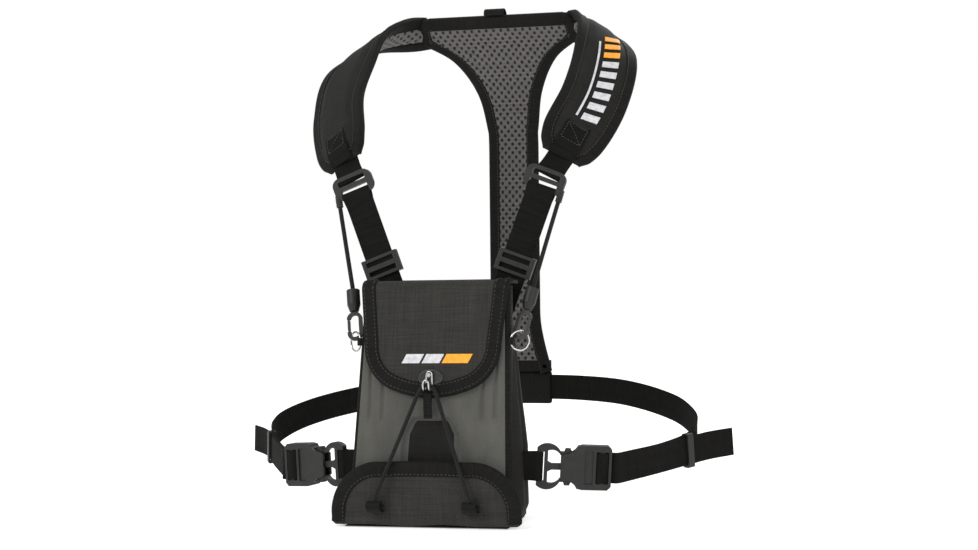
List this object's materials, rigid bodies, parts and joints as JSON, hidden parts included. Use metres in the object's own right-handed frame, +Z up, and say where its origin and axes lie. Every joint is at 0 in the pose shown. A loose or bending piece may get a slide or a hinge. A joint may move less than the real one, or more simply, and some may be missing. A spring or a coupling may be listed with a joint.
{
  "type": "optics chest harness",
  "caption": "Chest harness with a lidded optics pouch, padded mesh yoke, adjustable straps, waist belt with side-release buckles, and two snap-hook tethers.",
  "frame": {"origin": "middle of the pouch's back face, where it lies on the wearer's chest", "axes": "+Y points out of the pouch's back face to the wearer, +Z up, +X to the right seen from the front"},
  "size_m": [0.4664, 0.272, 0.4645],
  "materials": {
    "black_fabric": "woven pack cloth",
    "lid_fabric": "plain woven cloth",
    "binding_tape": "smooth grosgrain tape",
    "black_webbing": "ribbed nylon webbing",
    "grey_shell": "moulded foam faced with knit cloth",
    "grey_mesh": "spacer mesh",
    "black_plastic": "moulded acetal",
    "elastic_cord": "braided elastic",
    "rubber_patch": "satin",
    "bright_steel": "bright"
  },
  "bodies": {
    "belt_front_left": {"belt_front_webbing_left": "black_webbing", "belt_tail_left": "black_webbing", "buckle_female_left": "black_plastic"},
    "belt_front_right": {"belt_front_webbing_right": "black_webbing", "belt_tail_right": "black_webbing", "buckle_female_right": "black_plastic"},
    "belt_keeper_left": {"belt_keeper_left": "black_plastic"},
    "belt_keeper_right": {"belt_keeper_right": "black_plastic"},
    "root": {"belt_rear_webbing_left": "black_webbing", "belt_rear_webbing_right": "black_webbing", "belt_sleeve": "binding_tape", "buckle_male_left": "black_plastic", "buckle_male_right": "black_plastic", "hang_loop": "binding_tape", "pad_end_webbing_left": "black_webbing", "pad_end_webbing_right": "black_webbing", "pouch_back_panel": "black_fabric", "pouch_floor": "black_fabric", "pouch_front_shell": "grey_shell", "pouch_side_left": "black_fabric", "pouch_side_right": "black_fabric", "pouch_tab_webbing_left": "black_webbing", "pouch_tab_webbing_right": "black_webbing", "ring_tab_left": "binding_tape", "ring_tab_right": "binding_tape", "shoulder_pad_left": "black_fabric", "shoulder_pad_right": "black_fabric", "shoulder_webbing_left": "black_webbing", "shoulder_webbing_right": "black_webbing", "snap_hook_left": "black_plastic", "snap_hook_right": "black_plastic", "split_ring_left": "bright_steel", "split_ring_right": "bright_steel", "strap_ring_left": "black_plastic", "strap_ring_right": "black_plastic", "tether_cord_left": "elastic_cord", "tether_cord_right": "elastic_cord", "tether_ferrule_left": "black_plastic", "tether_ferrule_right": "black_plastic", "yoke_binding": "binding_tape", "yoke_mesh_pad": "grey_mesh", "yoke_shell": "black_fabric"},
    "bungee": {"bungee_pull_tab": "binding_tape", "front_bungee": "elastic_cord"},
    "lower_flap": {"bungee_tab_left": "binding_tape", "bungee_tab_right": "binding_tape", "lower_flap": "black_fabric", "lower_flap_binding": "binding_tape"},
    "lid": {"hook_patch": "rubber_patch", "hook_rivet": "bright_steel", "lace_hook": "bright_steel", "lid_binding": "binding_tape", "lid_panel": "lid_fabric"},
    "snap_gate_left": {"snap_gate_left": "black_plastic"},
    "snap_gate_right": {"snap_gate_right": "black_plastic"},
    "strap_slider_left": {"strap_slider_left": "black_plastic"},
    "strap_slider_right": {"strap_slider_right": "black_plastic"}
  },
  "joints": [
    {"name": "lid_hinge", "type": "hinge", "parent": "root", "child": "lid", "pos_m": [0, -0.0025, 0.097], "axis": [-1, 0, 0], "range_deg": [0, 75]},
    {"name": "lower_flap_hinge", "type": "hinge", "parent": "root", "child": "lower_flap", "pos_m": [0, -0.052, -0.096], "axis": [1, 0, 0], "range_deg": [0, 90]},
    {"name": "bungee_swing", "type": "hinge", "parent": "lower_flap", "child": "bungee", "pos_m": [0, -0.064, -0.075], "axis": [1, 0, 0], "range_deg": [0, 150], "deforming": ["front_bungee"]},
    {"name": "buckle_release_left", "type": "slide", "parent": "root", "child": "belt_front_left", "axis": [-0.9632, 0.262, -0.06], "range_m": [0, 0.03]},
    {"name": "belt_keeper_slide_left", "type": "slide", "parent": "belt_front_left", "child": "belt_keeper_left", "axis": [0.6104, -0.7892, -0.0678], "range_m": [0, 0.045]},
    {"name": "strap_slider_slide_left", "type": "slide", "parent": "root", "child": "strap_slider_left", "axis": [-0.3461, 0.0187, 0.938], "range_m": [-0.004, 0.04]},
    {"name": "snap_gate_hinge_left", "type": "hinge", "parent": "root", "child": "snap_gate_left", "pos_m": [-0.07804, -0.02255, 0.06683], "axis": [0.1401, -0.9342, 0.3282], "range_deg": [0, 22], "stiffness_Nm_per_rad": 0.004},
    {"name": "buckle_release_right", "type": "slide", "parent": "root", "child": "belt_front_right", "axis": [0.9632, 0.262, -0.06], "range_m": [0, 0.03]},
    {"name": "belt_keeper_slide_right", "type": "slide", "parent": "belt_front_right", "child": "belt_keeper_right", "axis": [-0.6104, -0.7892, -0.0678], "range_m": [0, 0.045]},
    {"name": "strap_slider_slide_right", "type": "slide", "parent": "root", "child": "strap_slider_right", "axis": [0.3461, 0.0187, 0.938], "range_m": [-0.004, 0.04]},
    {"name": "snap_gate_hinge_right", "type": "hinge", "parent": "root", "child": "snap_gate_right", "pos_m": [0.07804, -0.02255, 0.06683], "axis": [0.1401, 0.9342, -0.3282], "range_deg": [0, 22], "stiffness_Nm_per_rad": 0.004}
  ],
  "couplings": [
    {"joint": "bungee_swing", "follows": "lid_hinge", "ratio": 2}
  ]
}
